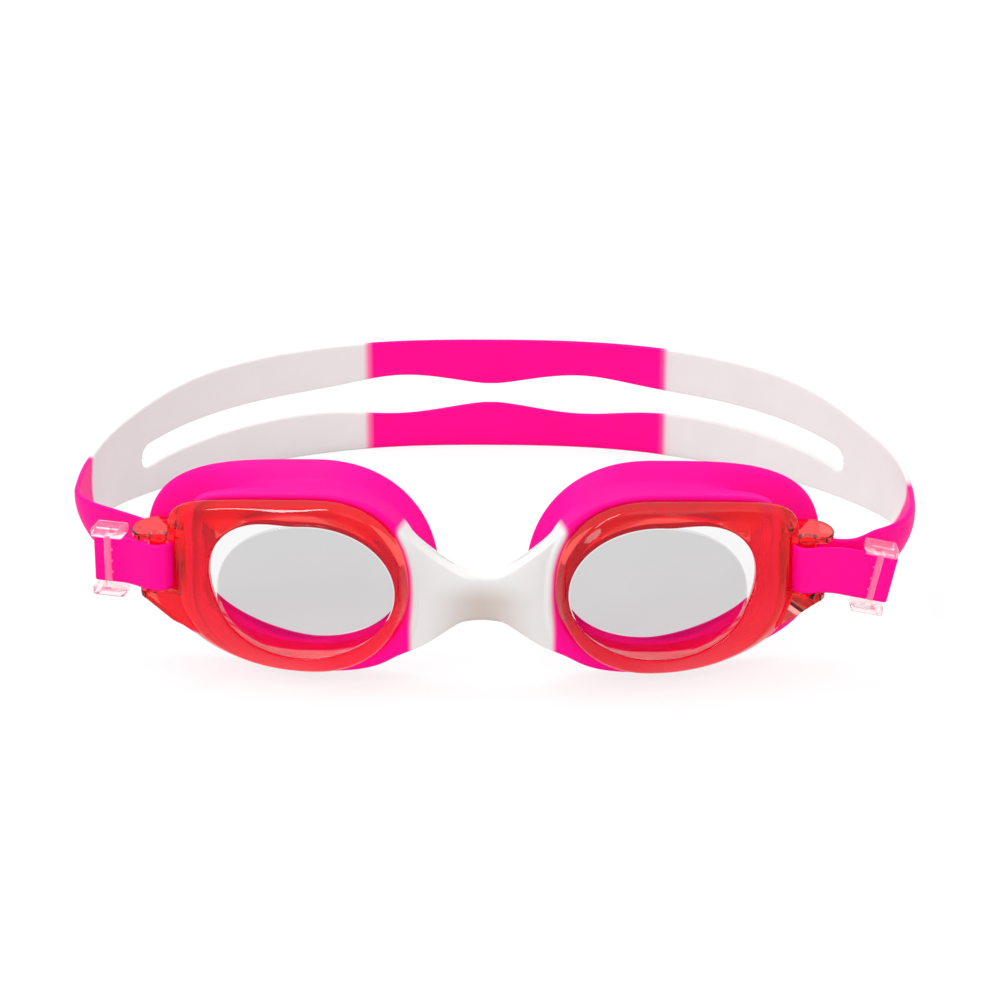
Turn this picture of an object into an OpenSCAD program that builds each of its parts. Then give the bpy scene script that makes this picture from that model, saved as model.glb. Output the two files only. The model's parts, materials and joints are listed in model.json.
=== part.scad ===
// Swimming goggles with a split strap: two hard eyecups on soft gaskets, a soft nose bridge,
// and a strap that doubles back through a slide clip at each temple.
// X runs across the face, the lenses look along -Y, and the goggles stand on z = 0.

/* [Eyecups] */
// Distance between the centres of the two lens windows
lens_spacing = 74.4; // [73.8:0.2:75.6]
// How far each cup turns back around the face, in degrees
cup_wrap = 8; // [7:0.5:9]
// How far each cup leans back, in degrees
cup_lean = 8; // [6:0.5:10]
// How far each cup tips its temple side down, in degrees
cup_roll = 4; // [2:0.5:5]

/* [Lens] */
// Width of the flat oval lens window
window_w = 37.8; // [36:0.2:38.4]
// Height of the flat oval lens window
window_h = 28.4; // [27:0.2:28.8]
// Thickness of the lens
lens_t = 1.8; // [1.4:0.1:2]

/* [Lens frame] */
// Width of the hard lens frame from nose to temple
frame_w = 52; // [51:0.2:53]
// Height of the hard lens frame from brow to cheek
frame_h = 37.6; // [37:0.2:38.4]
// Thickness of the frame's flange in front of the gasket
flange_t = 1.4; // [1:0.1:1.8]
// Radius of the post that the strap turns around
post_r = 2.2; // [1.8:0.1:2.4]
// Thickness of the two shelves that hold the post
shelf_t = 1.5; // [1:0.1:2]

/* [Gasket] */
// Width of the soft lip that seals on the face
lip_w = 64.2; // [63:0.2:65]
// Height of the soft lip
lip_h = 45.2; // [44.6:0.2:46.4]
// Depth of a cup at the nose, from the lens window to the edge of the lip
cup_depth = 17; // [16:0.5:18.5]

/* [Nose bridge] */
// Height of the nose bridge at its narrow middle
bridge_h = 10.8; // [9:0.2:14]
// Height of the nose bridge where it meets the gaskets
bridge_end_h = 20; // [16:0.5:21]
// Thickness of the nose bridge
bridge_t = 5.2; // [4.4:0.2:5.6]

/* [Strap] */
// Thickness of the strap
strap_t = 1.2; // [0.8:0.1:1.5]
// Width of the single strap at the clips
strap_w = 10.5; // [9:0.5:11]
// How far the strap's loop reaches out to the left
loop_left_w = 90.8; // [90:0.2:94]
// How far the strap's loop reaches out to the right
loop_right_w = 93; // [92:0.2:94]
// Distance from the lens windows to the back of the strap's loop
loop_depth = 139.5; // [130:0.5:170]
// Height of the back of the strap, over both bands
rear_h = 27.7; // [26:0.1:32]
// Height of the opening between the two bands, away from the middle of the back
slit_h = 5.6; // [4:0.2:7]

/* [Clip] */
// Height of the slide clip
clip_h = 15.6; // [15:0.2:18]
// Length of the clip's two ends along the strap
clip_w = 7; // [5:0.5:8]
// Width of the clip's two bars along the strap
clip_bar_w = 2.7; // [2:0.1:3]

/* [Hidden] */
$fn = 48;
// A fitted joint between two hard or soft pieces of one cup, and the room around a piece that moves
seat_gap = 0.05;
move_gap = 0.3;

// Each outline is star shaped around the window's centre: its reach to the temple, the nose, the brow
// and the cheek, then how square it is at brow and temple, cheek and temple, brow and nose, cheek and nose
cup_n = 72;
frame_temple = 0.592 * frame_w;
frame_nose = frame_w - frame_temple;
frame_brow = 0.497 * frame_h;
frame_cheek = frame_h - frame_brow;
lip_temple = 0.595 * lip_w;
lip_nose = lip_w - lip_temple;
lip_brow = 0.533 * lip_h;
lip_cheek = lip_h - lip_brow;
frame_square = [8, 2.1, 2.4, 2.1];
neck_square = [3, 2.1, 2.3, 2.1];
lip_square = [3.6, 2.2, 2.2, 2.2];
round_square = [2.2, 2, 2, 2];
window_reach = [window_w / 2, window_w / 2, window_h / 2, window_h / 2];
opening_reach = window_reach + [3.6, 0.4, 0.4, 0.5];
flange_reach = [frame_temple, frame_nose, frame_brow, frame_cheek];
crest_reach = flange_reach - [3, 0.9, 1.2, 2.4];
plug_reach = flange_reach - [5.6, 0.2, 0.2, 0.3];
plug_in_reach = plug_reach - [1.6, 1.6, 1.6, 3.2];
collar_reach = flange_reach + [-4, 1.8, 1, 0.5];
neck_reach = collar_reach + [0.6, 0.6, 1.3, 0.2];
lip_reach = [lip_temple, lip_nose, lip_brow, lip_cheek];
eye_reach = plug_reach - [1.6, 1.4, 2.2, 3.5];
neck_in_reach = neck_reach - [2, 2, 2, 4.9];
lip_in_reach = lip_reach - [2, 2, 2, 6.2];

// Depths behind the window, each as its depth at the nose and what the temple adds to that
lens_edge = [0.35, 3.45];
lens_rim = [2, 0];
crest = [1.3, 3];
flange_back = [6, 2.6];
flange_front = flange_back - [flange_t, 0];
plug_back = [9.2, 2.6];
neck = [12, 3];
lip_edge = [cup_depth, 3];

function reach_at(reach, square, a) =
    let(
        temple = cos(a) >= 0,
        brow = sin(a) >= 0,
        rx = temple ? reach[0] : reach[1],
        rz = brow ? reach[2] : reach[3],
        p = square[(temple ? 0 : 2) + (brow ? 0 : 1)]
    )
    pow(pow(abs(cos(a)) / rx, p) + pow(abs(sin(a)) / rz, p), -1 / p);
function section(reach, square, depth) = [
    for (i = [0:cup_n - 1])
        let(a = i * 360 / cup_n, r = reach_at(reach, square, a))
        [r * cos(a), depth[0] + depth[1] * (1 + cos(a)) / 2, r * sin(a)]
];
function grown(reach, d) = [for (r = reach) r + d];
function side_faces(n, first, second) = [
    for (i = [0:n - 1]) [first * n + i, first * n + (i + 1) % n, second * n + (i + 1) % n, second * n + i]
];

lens_sections = [
    section(window_reach, round_square, [0, 0]),
    section(grown(opening_reach, -seat_gap), round_square, lens_edge),
    section(grown(opening_reach, -seat_gap), round_square, lens_edge + lens_rim),
    section(0.92 * window_reach, round_square, [lens_t, 0])
];
frame_sections = [
    section(opening_reach, round_square, lens_edge),
    section(crest_reach, frame_square, crest),
    section(flange_reach, frame_square, flange_front),
    section(flange_reach, frame_square, flange_back),
    section(plug_reach, frame_square, flange_back),
    section(plug_reach, frame_square, plug_back),
    section(plug_in_reach, frame_square, plug_back),
    section(opening_reach, round_square, lens_edge + 1.4 * lens_rim)
];
seat_front = flange_back + [seat_gap, 0];
seat_back = plug_back + [seat_gap, 0];
gasket_sections = [
    section(collar_reach, frame_square, seat_front),
    section(grown(collar_reach, 0.4), frame_square, [9.5, 2.8]),
    section(neck_reach, neck_square, neck),
    section(grown(lip_reach, -1.2), lip_square, lip_edge - [2, 0]),
    section(lip_reach, lip_square, lip_edge),
    section(lip_in_reach, lip_square, lip_edge + [0.8, 0]),
    section(neck_in_reach, neck_square, neck + [0.6, 0]),
    section(eye_reach, frame_square, seat_back + [1, 0]),
    section(eye_reach, frame_square, seat_back),
    section(grown(plug_reach, seat_gap), frame_square, seat_back),
    section(grown(plug_reach, seat_gap), frame_square, seat_front)
];

// The cup rolls, leans back and wraps, then moves out to its side, high enough for its lip to stand on z = 0
function rolled(p) = [
    p[0] * cos(cup_roll) + p[2] * sin(cup_roll),
    p[1],
    p[2] * cos(cup_roll) - p[0] * sin(cup_roll)
];
function leaned(p) = [
    p[0],
    p[1] * cos(cup_lean) + p[2] * sin(cup_lean),
    p[2] * cos(cup_lean) - p[1] * sin(cup_lean)
];
function wrapped_y(p) = p[0] * sin(cup_wrap) + p[1] * cos(cup_wrap);
lens_z = -min([for (s = gasket_sections) for (p = s) leaned(rolled(p))[2]]);
front_y = min([for (p = lens_sections[0]) wrapped_y(leaned(rolled(p)))]);
rear_y = loop_depth + strap_t / 2;
origin_y = (front_y + rear_y) / 2;

// Each strap end comes forward from the ear, turns around the post and runs out again as a tail in its clip.
// Values that differ from side to side are lists of the left one and the right one
post_at = [68.9, 12.05];
strap_z = 25.4;
tail_turn = [14, 2];
tail_drop = [0, 12];
drop_from = 2.5;
clip_out = [10.6, 14.3];
tail_out = [14.2, 19.5];
tail_n = 0.75;
tail_set = 8;
turn_r = post_r + 0.15 + strap_t / 2;
wrap_from = [140, 93];
wrap_run = [14, 18];
ear_lead = [9, 10];
ear_lean = [3, 2];
lean_y = [20, 34, 46, 66];
sink_out = 11.5;
sink_y = [17, 26];
ear_low = strap_z - strap_w / 2;
ear_high = strap_z + strap_w / 2;
function of_side(pair, side) = pair[side < 0 ? 0 : 1];
function turned(d, a) = [d[0] * cos(a) - d[1] * sin(a), d[0] * sin(a) + d[1] * cos(a)];
function on_tail(side, d, n) = post_at + turned([d, n], of_side(tail_turn, side));
function drop_at(side, d) = tan(of_side(tail_drop, side)) * max(0, d - drop_from);

// The loop around the head, with q from 0 at the middle of the back to 90 at the side of the head
loop_mid_y = 40;
loop_square = 2.5;
function loop_at(q, side = 1) = [
    sign(q) * (side * q < 0 ? loop_left_w : loop_right_w) * pow(abs(sin(q)), 2 / loop_square),
    loop_mid_y + (loop_depth - loop_mid_y) * pow(max(0, cos(q)), 2 / loop_square)
];
function bezier(a, b, c, d, t) =
    pow(1 - t, 3) * a + 3 * t * pow(1 - t, 2) * b + 3 * t * t * (1 - t) * c + pow(t, 3) * d;
function eased(t) = let(c = min(1, max(0, t))) c * c * (3 - 2 * c);

// Where the strap changes colour, where it splits, and the cut at each end of a bending arm, all as q
end_q = [83.5, 88.6];
back_q_left = 14.5;
back_q_right = 22;
fork_q = 55;
slit_q = 60;
cut_q = 0.2;
ear_y = 36;
ear_rise = 0.5;
ear_run = [20, 30];
high_y = 42;
flat_y = loop_at(back_q_right)[1];
dip_y = 92;
dip_run = 28;
dip = 1.2;
slit_z = rear_h / 2;
slit_y = loop_at(slit_q)[1];
slit_round = 3.4;
// The opening widens at bulge_x on both sides, and narrows at the middle of the back
bulge = 2.2;
bulge_x = 22;
bulge_run = 14;
pinch = 0.6;
pinch_run = 8;

// The lower edge falls from the ear to the table, and the upper edge dips a little before the back
function low_edge(p) =
    let(t = min(1, max(0, (p[1] - ear_y) / (flat_y - ear_y))), u = 1.06 * t * t / (t + 0.06))
    ear_low * pow(1 - min(1, u), 1.6);
function high_edge(p) =
    let(
        raised = ear_high + ear_rise * eased((p[1] - ear_run[0]) / (ear_run[1] - ear_run[0])),
        falling = eased((p[1] - high_y) / (dip_y - high_y))
    )
    raised + (rear_h - dip - raised) * falling + dip * eased((p[1] - dip_y) / dip_run);
// Half the opening, which is round where it starts
function slit_half(p) =
    let(
        x = abs(p[0]),
        wider = bulge * exp(-pow((x - bulge_x) / bulge_run, 2)),
        narrower = pinch * exp(-pow(x / pinch_run, 2)),
        open = slit_h / 2 + wider - narrower,
        start = min(1, max(0.003, (p[1] - slit_y) / slit_round))
    )
    open * sqrt(1 - pow(1 - start, 2));
function slit_low(p) = slit_z - slit_half(p);
function slit_high(p) = slit_z + slit_half(p);

function heading(path, i) =
    let(a = path[max(0, i - 1)], b = path[min(len(path) - 1, i + 1)])
    (b - a) / norm(b - a);
function spread(q0, q1, n) = [for (i = [0:n]) q0 + (q1 - q0) * i / n];
function loop_path(qs, side = 1) = [for (q = qs) loop_at(q, side)];
// From the side of the head to the post
function ear_path(side) =
    let(
        turn = of_side(wrap_from, side),
        ear = loop_at(90, side),
        post = on_tail(side, turn_r * cos(turn), turn_r * sin(turn)),
        lead = turned([of_side(wrap_run, side), 0], of_side(tail_turn, side) + turn - 90)
    )
    [for (i = [1:12]) bezier(ear, ear - [0, of_side(ear_lead, side)], post + lead, post, i / 12)];
// Around the post, then out along the tail, each as a distance out from the post and one back from it
function tail_steps(side) = concat(
    [for (i = [1:8]) let(a = of_side(wrap_from, side), b = a + (270 - a) * i / 8) turn_r * [cos(b), sin(b)]],
    [for (i = [1:5]) [tail_set * i / 5, -turn_r + (turn_r - tail_n) * eased(i / 5)]],
    [[of_side(tail_out, side), -tail_n]]
);
// The strap sinks with its drooping tail, and its lower edge leans in at the ear
function sink_at(side, p) =
    let(d = (p[0] - post_at[0]) / cos(of_side(tail_turn, side)))
    drop_at(side, min(d, sink_out)) * (1 - eased((p[1] - sink_y[0]) / (sink_y[1] - sink_y[0])));
function lean_at(side, p) =
    let(
        starting = eased((p[1] - lean_y[0]) / (lean_y[1] - lean_y[0])),
        ending = eased((p[1] - lean_y[2]) / (lean_y[3] - lean_y[2]))
    )
    of_side(ear_lean, side) * starting * (1 - ending);

pink = [1, 0.02, 0.56];
white = [0.9, 0.87, 0.87];
coral = [1, 0.37, 0.36, 0.6];
smoke = [0.82, 0.82, 0.82, 0.4];
clear = [0.92, 0.9, 0.92, 0.5];

// Right-hand pieces are drawn in place, and left-hand pieces are their mirror images
module placed(side = 1) {
    translate([0, -origin_y, 0])
        mirror([side < 0 ? 1 : 0, 0, 0])
            children();
}

module on_cup() {
    translate([lens_spacing / 2, 0, lens_z])
        rotate([-cup_lean, 0, cup_wrap])
            rotate([0, cup_roll, 0])
                children();
}

module on_clip(side) {
    at = on_tail(side, of_side(clip_out, side), -tail_n);
    translate([at[0], at[1], strap_z - drop_at(side, of_side(clip_out, side))])
        rotate([0, of_side(tail_drop, side), of_side(tail_turn, side)])
            children();
}

// A closed ring through a list of sections, or a solid between the first and the last of them
module ring(sections) {
    n = len(sections);
    polyhedron(
        points = [for (s = sections) each s],
        faces = [for (k = [0:n - 1]) each side_faces(cup_n, k, (k + 1) % n)],
        convexity = 6
    );
}

module dish(sections) {
    n = len(sections);
    polyhedron(
        points = [for (s = sections) each s],
        faces = concat(
            [[for (i = [cup_n - 1:-1:0]) i]],
            [for (k = [0:n - 2]) each side_faces(cup_n, k, k + 1)],
            [[for (i = [0:cup_n - 1]) (n - 1) * cup_n + i]]
        ),
        convexity = 6
    );
}

// A flat strap along a path, between a lower and an upper edge, with its lower edge leaning in. Its twisted
// faces are split the same way in front and behind, which keeps its thickness
module ribbon(path, low, high, lean = [], thick = strap_t) {
    n = len(path);
    polyhedron(
        points = [
            for (i = [0:n - 1])
                let(
                    d = heading(path, i),
                    half = thick / 2 * [-d[1], d[0]],
                    a = path[i] + half,
                    b = path[i] - half,
                    in = [len(lean) > 0 ? lean[i] : 0, 0]
                )
                each [concat(a - in, low[i]), concat(a, high[i]), concat(b, high[i]), concat(b - in, low[i])]
        ],
        faces = concat(
            [[0, 1, 2, 3]],
            [
                for (k = [0:n - 2])
                    for (j = [0:3])
                        let(a = 4 * k + j, b = a + 4, d = 4 * k + (j + 1) % 4, c = d + 4)
                        each j < 2 ? [[a, b, c], [a, c, d]] : [[b, c, d], [b, d, a]]
            ],
            [[for (j = [3:-1:0]) 4 * (n - 1) + j]]
        ),
        convexity = 6
    );
}

module rounded(size, r) {
    hull()
        for (sx = [-1, 1], sy = [-1, 1])
            translate([sx * (size[0] / 2 - r), sy * (size[1] / 2 - r)])
                circle(r, $fn = 24);
}

// The bridge turns on each gasket about an upright axis, where the soft moulding bends
hinge_x = 10.2;
hinge_y = 6.5;
bridge_z = 20.6;
bridge_n = 28;
function bridge_section(x) =
    let(half_h = (bridge_h + (bridge_end_h - bridge_h) * pow(abs(x) / hinge_x, 2)) / 2)
    [
        for (i = [0:bridge_n - 1])
            let(a = i * 360 / bridge_n, r = pow(pow(abs(cos(a)), 4) + pow(abs(sin(a)), 4), -1 / 4))
            [x, hinge_y + bridge_t / 2 * r * cos(a), bridge_z + half_h * r * sin(a)]
    ];
bridge_sections = [for (i = [-6:6]) bridge_section(i / 6 * hinge_x)];

module nose_bridge() {
    n = len(bridge_sections);
    color(white)
        placed() {
            polyhedron(
                points = [for (s = bridge_sections) each s],
                faces = concat(
                    [[for (i = [0:bridge_n - 1]) i]],
                    [for (k = [0:n - 2]) each side_faces(bridge_n, k + 1, k)],
                    [[for (i = [bridge_n - 1:-1:0]) (n - 1) * bridge_n + i]]
                )
            );
            for (side = [-1, 1])
                translate([side * hinge_x, hinge_y, bridge_z])
                    cylinder(h = bridge_end_h - 1.5, r = bridge_t / 2, center = true);
        }
}

// A tab on the gasket's nose side reaches to the bridge's knuckle, and stops short of the frame
module bridge_tab() {
    tab_reach = 6;
    tab_t = bridge_t - 0.8;
    tab_h = bridge_end_h - 2;
    clear_reach = grown(flange_reach, move_gap);
    difference() {
        translate([hinge_x, hinge_y - tab_t / 2, bridge_z - tab_h / 2])
            cube([tab_reach, tab_t, tab_h]);
        on_cup()
            dish([
                section(clear_reach, frame_square, [-2, 0]),
                section(clear_reach, frame_square, plug_back + [2, 0])
            ]);
    }
}

module gasket(side) {
    color(pink)
        placed(side)
            difference() {
                union() {
                    on_cup()
                        ring(gasket_sections);
                    bridge_tab();
                }
                translate([hinge_x, hinge_y, bridge_z])
                    cylinder(h = 2 * bridge_end_h, r = bridge_t / 2 + move_gap, center = true);
            }
}

// The strap lug: two shelves with a round post between them, on the temple side of the frame
lug_in = 63.2;
lug_front = 9;
lug_back = 18.4;
lug_round = 6;
lug_out = 75.2;
lug_low_out = 73;
strap_room = 0.4;
room = turn_r + strap_t / 2 + strap_room;
room_h = strap_w + 2 * strap_room;
module lug_outline(out) {
    intersection() {
        hull() {
            translate([lug_in, lug_front])
                square([1, lug_back - lug_front]);
            translate([out - lug_round, lug_back - lug_round])
                circle(lug_round);
        }
        translate([lug_in, lug_front])
            square([lug_out, lug_back]);
    }
}

// A web under the lug carries the frame's lower edge out to the lower shelf
web_t = 3.4;
web_back = 8.4;
web_foot = [20, -12.5];
web_knee = [30.1, -7.2];
web_in = 28;
web_out = 36.4;
web_top = -0.7;
module lug_web() {
    translate([0, web_back, 0])
        rotate([90, 0, 0])
            linear_extrude(web_t)
                polygon([web_foot, web_knee, [web_out, web_top - 1], [web_out, web_top], [web_in, web_top]]);
}

module lens_frame(side) {
    lug_h = room_h / 2 + shelf_t;
    color(coral)
        placed(side) {
            difference() {
                union() {
                    on_cup()
                        ring(frame_sections);
                    on_cup()
                        lug_web();
                    translate([0, 0, strap_z])
                        linear_extrude(lug_h)
                            lug_outline(lug_out);
                    translate([0, 0, strap_z - lug_h])
                        linear_extrude(lug_h + 1)
                            lug_outline(lug_low_out);
                }
                translate([post_at[0], post_at[1], strap_z - room_h / 2])
                    linear_extrude(room_h) {
                        circle(room);
                        translate([0, -lug_back])
                            square(2 * lug_back);
                        translate([-room, 0])
                            square(lug_back);
                    }
            }
            translate([post_at[0], post_at[1], strap_z])
                cylinder(h = room_h + 1, r = post_r, center = true);
        }
}

module lens(side) {
    color(smoke)
        placed(side)
            on_cup()
                dish(lens_sections);
}

module strap_end(side) {
    head = concat(loop_path(spread(of_side(end_q, side), 90, 4), side), ear_path(side));
    sink = [for (p = head) sink_at(side, p)];
    tail = tail_steps(side);
    tail_path = [for (t = tail) on_tail(side, t[0], t[1])];
    drop = [for (t = tail) drop_at(side, t[0])];
    n = len(head);
    color(pink)
        placed(side)
            ribbon(
                concat(head, tail_path),
                concat([for (i = [0:n - 1]) low_edge(head[i]) - sink[i]], [for (d = drop) ear_low - d]),
                concat([for (i = [0:n - 1]) high_edge(head[i]) - sink[i]], [for (d = drop) ear_high - d]),
                concat([for (p = head) lean_at(side, p)], [for (d = drop) 0])
            );
}

module strap_arm(side) {
    path = loop_path(spread(fork_q + cut_q, of_side(end_q, side) - cut_q, 14), side);
    slit = loop_path(spread(fork_q - 1, slit_q, 24), side);
    color(white)
        placed(side)
            difference() {
                ribbon(
                    path,
                    [for (p = path) low_edge(p)],
                    [for (p = path) high_edge(p)],
                    [for (p = path) lean_at(side, p)]
                );
                ribbon(
                    slit,
                    [for (p = slit) slit_low(p)],
                    [for (p = slit) slit_high(p)],
                    thick = 4 * strap_t
                );
            }
}

module upper_band(side, q0, q1) {
    path = loop_path(spread(q0, q1, 16), side);
    placed(side)
        ribbon(path, [for (p = path) slit_high(p)], [for (p = path) high_edge(p)]);
}

module lower_band(side, q0, q1) {
    path = loop_path(spread(q0, q1, 16), side);
    placed(side)
        ribbon(path, [for (p = path) low_edge(p)], [for (p = path) slit_low(p)]);
}

// The clip: a bar in front of the tail and one behind it, joined above and below, and teeth in front
module strap_clip(side) {
    bar_t = 1.5;
    inside = strap_t / 2 + strap_room;
    depth = 2 * (inside + bar_t);
    end_t = (clip_h - strap_w) / 2 - strap_room;
    tooth = 0.25;
    teeth = 7;
    color(clear)
        placed(side)
            on_clip(side) {
                for (face = [-1, 1])
                    translate([0, face * (inside + bar_t / 2), 0])
                        cube([clip_bar_w, bar_t, clip_h - end_t], center = true);
                for (end = [-1, 1])
                    translate([0, 0, end * (clip_h - end_t) / 2 - end_t / 2])
                        linear_extrude(end_t)
                            rounded([clip_w, depth], 1.6);
                for (i = [0:teeth - 1])
                    translate([-clip_bar_w / 2, -inside, (i - (teeth - 1) / 2) * strap_w / (teeth + 1)])
                        rotate([90, 0, 90])
                            linear_extrude(clip_bar_w)
                                polygon([[-0.1, -0.4], [tooth, 0], [-0.1, 0.4]]);
            }
}

nose_bridge();
gasket(-1);  // gasket_left
gasket(1);  // gasket_right
lens_frame(-1);  // lens_frame_left
lens_frame(1);  // lens_frame_right
lens(-1);  // lens_left
lens(1);  // lens_right
strap_end(-1);  // strap_end_left
strap_end(1);  // strap_end_right
strap_arm(-1);  // strap_arm_left
strap_arm(1);  // strap_arm_right
color(white) upper_band(-1, back_q_left, fork_q);  // upper_side_left
color(white) upper_band(1, back_q_right, fork_q);  // upper_side_right
color(pink) upper_band(1, -back_q_left, back_q_right);  // upper_back
color(white) lower_band(-1, back_q_left, fork_q);  // lower_side_left
color(white) lower_band(1, back_q_right, fork_q);  // lower_side_right
color(pink) lower_band(1, -back_q_left, back_q_right);  // lower_back
strap_clip(-1);  // strap_clip_left
strap_clip(1);  // strap_clip_right
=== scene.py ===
import json
import math

import bmesh
import bpy
import numpy as np
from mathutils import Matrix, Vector


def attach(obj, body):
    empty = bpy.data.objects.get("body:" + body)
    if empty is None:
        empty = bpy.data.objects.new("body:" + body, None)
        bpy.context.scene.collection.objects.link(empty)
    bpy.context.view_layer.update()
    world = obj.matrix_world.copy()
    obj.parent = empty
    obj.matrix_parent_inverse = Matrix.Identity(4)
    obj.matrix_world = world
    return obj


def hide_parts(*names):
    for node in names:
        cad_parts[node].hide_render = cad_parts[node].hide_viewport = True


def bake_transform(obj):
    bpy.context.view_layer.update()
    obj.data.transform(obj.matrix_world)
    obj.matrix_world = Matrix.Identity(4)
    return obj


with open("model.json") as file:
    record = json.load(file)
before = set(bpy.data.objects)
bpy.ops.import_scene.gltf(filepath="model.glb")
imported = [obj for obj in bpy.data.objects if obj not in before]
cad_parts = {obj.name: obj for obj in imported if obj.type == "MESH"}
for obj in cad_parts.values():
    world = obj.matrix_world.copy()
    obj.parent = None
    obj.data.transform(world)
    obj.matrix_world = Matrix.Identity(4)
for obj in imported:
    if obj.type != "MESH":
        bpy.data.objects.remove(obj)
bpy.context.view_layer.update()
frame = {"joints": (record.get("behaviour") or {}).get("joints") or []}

# The view: swimming goggles lying on a white table, seen from in front and above with a long lens.
# Sizes in this file are millimetres, and depths count back from the plane of the lens windows.
mm = 0.001
hinge_y, hinge_z = 6.5, 20.6
joints = {joint["name"]: joint for joint in frame["joints"]}
window_y = joints["right_cup_flex"]["pos_m"][1] - hinge_y * mm
view_height = math.radians(25)
view_turn = math.radians(0.95)
view_distance = 800 * mm
image_size = 1000
focal_pixels = 3800
looked_at = Vector((0, window_y, 20 * mm))
looked_at_pixel = (481.5, 610.6)

backwards = Vector((
    math.sin(view_turn) * math.cos(view_height),
    -math.cos(view_turn) * math.cos(view_height),
    math.sin(view_height),
))
rightwards = Vector((math.cos(view_turn), math.sin(view_turn), 0))
upwards = backwards.cross(rightwards)
eye = looked_at + view_distance * backwards
across = (image_size / 2 - looked_at_pixel[0]) / focal_pixels
above = (looked_at_pixel[1] - image_size / 2) / focal_pixels
picture_middle = looked_at + view_distance * (across * rightwards + above * upwards)
camera_data = bpy.data.cameras.new("view")
camera_data.sensor_width = 36
camera_data.lens = camera_data.sensor_width * focal_pixels / image_size
camera_data.clip_start = 0.01
camera = bpy.data.objects.new("view", camera_data)
camera.location = eye
camera.rotation_euler = (picture_middle - eye).to_track_quat("-Z", "Y").to_euler()
bpy.context.scene.collection.objects.link(camera)
bpy.context.scene.camera = camera
bpy.context.scene.view_settings.view_transform = "Standard"

# Gaskets and nose bridge: one moulding of soft silicone, pink around each eye and white over the nose.
# The collar grips the hard frame, a crease runs behind it, and the lip flares out to seal on the face.
# It is made here in two halves that meet in the middle of the bridge.
side_names = {1: "right", -1: "left"}
lens_spacing = 74.4
cup_wrap, cup_lean, cup_roll = (math.radians(a) for a in (8, 8, 4))
frame_square = (8, 2.1, 2.4, 2.1)
collar_square = (8, 2.1, 2.4, 2.9)
neck_square = (3, 2.1, 2.3, 2.1)
lip_square = (3.6, 2.2, 2.2, 2.2)
flange_reach = np.array((30.784, 21.216, 18.687, 18.913))
plug_reach = flange_reach - (5.6, 0.2, 0.2, 0.3)
collar_reach = flange_reach + (-4, 1.8, 1, 0.5)
neck_reach = collar_reach + (0.6, 0.6, 1.3, 0.2)
lip_reach = np.array((38.199, 26.001, 24.092, 21.108))
lip_swell = np.array((0.4, 0.4, 0.8, 0))
eye_reach = plug_reach - (1.6, 2.1, 5.2, 6.1)
eye_square = (8, 1.6, 2.4, 2.1)
neck_in_reach = neck_reach - (2, 2, 2, 4.9)
lip_in_reach = lip_reach - (2, 2, 2, 6.2)
flange_back = np.array((6, 2.6))
plug_back = np.array((9.2, 2.6))
collar_back = np.array((9.5, 2.8))
neck_depth = np.array((12, 3))
lip_depth = np.array((17, 3))
collar_swell = 0.4
lip_edge_in, lip_edge_t, lip_bow = 1.2, 2, 0.8
neck_t, rim_t = 0.6, 1
squeeze = 0.08
gasket_turns, cad_turn = 96, 5
gasket_rounds = (0.7, 1.2, 0.5, 1.5, 0.9, 0.8, 1.5, 0.6, 0.3, 0.2, 0.2)
gasket_corner_steps, most_of_edge = 3, 0.46
gasket_smoothing, gasket_sharp = 2, math.radians(50)
bridge_top, bridge_bottom = 40, 61
bridge_front_row, bridge_back_row = 2, 6
bridge_rings = 14
bridge_half_h, bridge_half_t, bridge_square = 5.4, 2.6, 4
bridge_pull = 0.9
bend_from, bend_to = np.array(((19, 6, 22), (3, 6, 22)))
white_x, white_wider, white_z, white_soft = 15.2, 2.6, (26, 35), 0.7
# How far out from the middle of the bridge the painted shade on its white reaches.
bridge_shade_x = 14


def row(points):
    """Points in millimetres behind the lens windows, as metres in the frame of the CAD parts."""
    return np.asarray(points, float) * mm + (0, window_y, 0)


def section(reach, square, depth, turns):
    """Radius and depth of an outline around a lens, by its reach to the temple, nose, brow and cheek and by
    how square each quarter is. The depth is its value at the nose and what it gains to the temple."""
    temple, brow = np.cos(turns) >= 0, np.sin(turns) >= 0
    rx = np.where(temple, reach[0], reach[1])
    rz = np.where(brow, reach[2], reach[3])
    power = np.where(temple, np.where(brow, *square[:2]), np.where(brow, *square[2:])).astype(float)
    radius = ((np.abs(np.cos(turns)) / rx) ** power + (np.abs(np.sin(turns)) / rz) ** power) ** (-1 / power)
    share = (1 + np.cos(turns)) / 2
    return np.stack((radius, depth[0] + depth[1] * share), axis=-1)


def rounded_rows(corners, rounds, steps):
    """Rows of a closed profile whose corners are rounded, for every turn around the lens at once."""
    rows = []
    for k, here in enumerate(corners):
        ends = []
        for other in (corners[k - 1], corners[(k + 1) % len(corners)]):
            run = np.linalg.norm(other - here, axis=-1, keepdims=True)
            ends.append(here + (other - here) * np.minimum(rounds[k] / run, most_of_edge))
        for t in np.linspace(0, 1, steps):
            rows.append((1 - t) ** 2 * ends[0] + 2 * t * (1 - t) * here + t * t * ends[1])
    return np.array(rows)


def around(rows, turns):
    """Rows of radius and depth, turned around the lens into temple, depth and height."""
    return np.stack((rows[..., 0] * np.cos(turns), rows[..., 1], rows[..., 0] * np.sin(turns)), axis=-1)


def turned(a, b, angle):
    """Two coordinates, turned by an angle about the third."""
    return a * math.cos(angle) - b * math.sin(angle), a * math.sin(angle) + b * math.cos(angle)


def tipped(points):
    """Points of a cup, as temple, depth and height from its window's centre, tipped as the cup is."""
    x, y, z = np.moveaxis(np.asarray(points, float), -1, 0)
    x, z = turned(x, z, -cup_roll)
    y, z = turned(y, z, -cup_lean)
    x, y = turned(x, y, cup_wrap)
    return np.stack((x, y, z), axis=-1)


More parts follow.
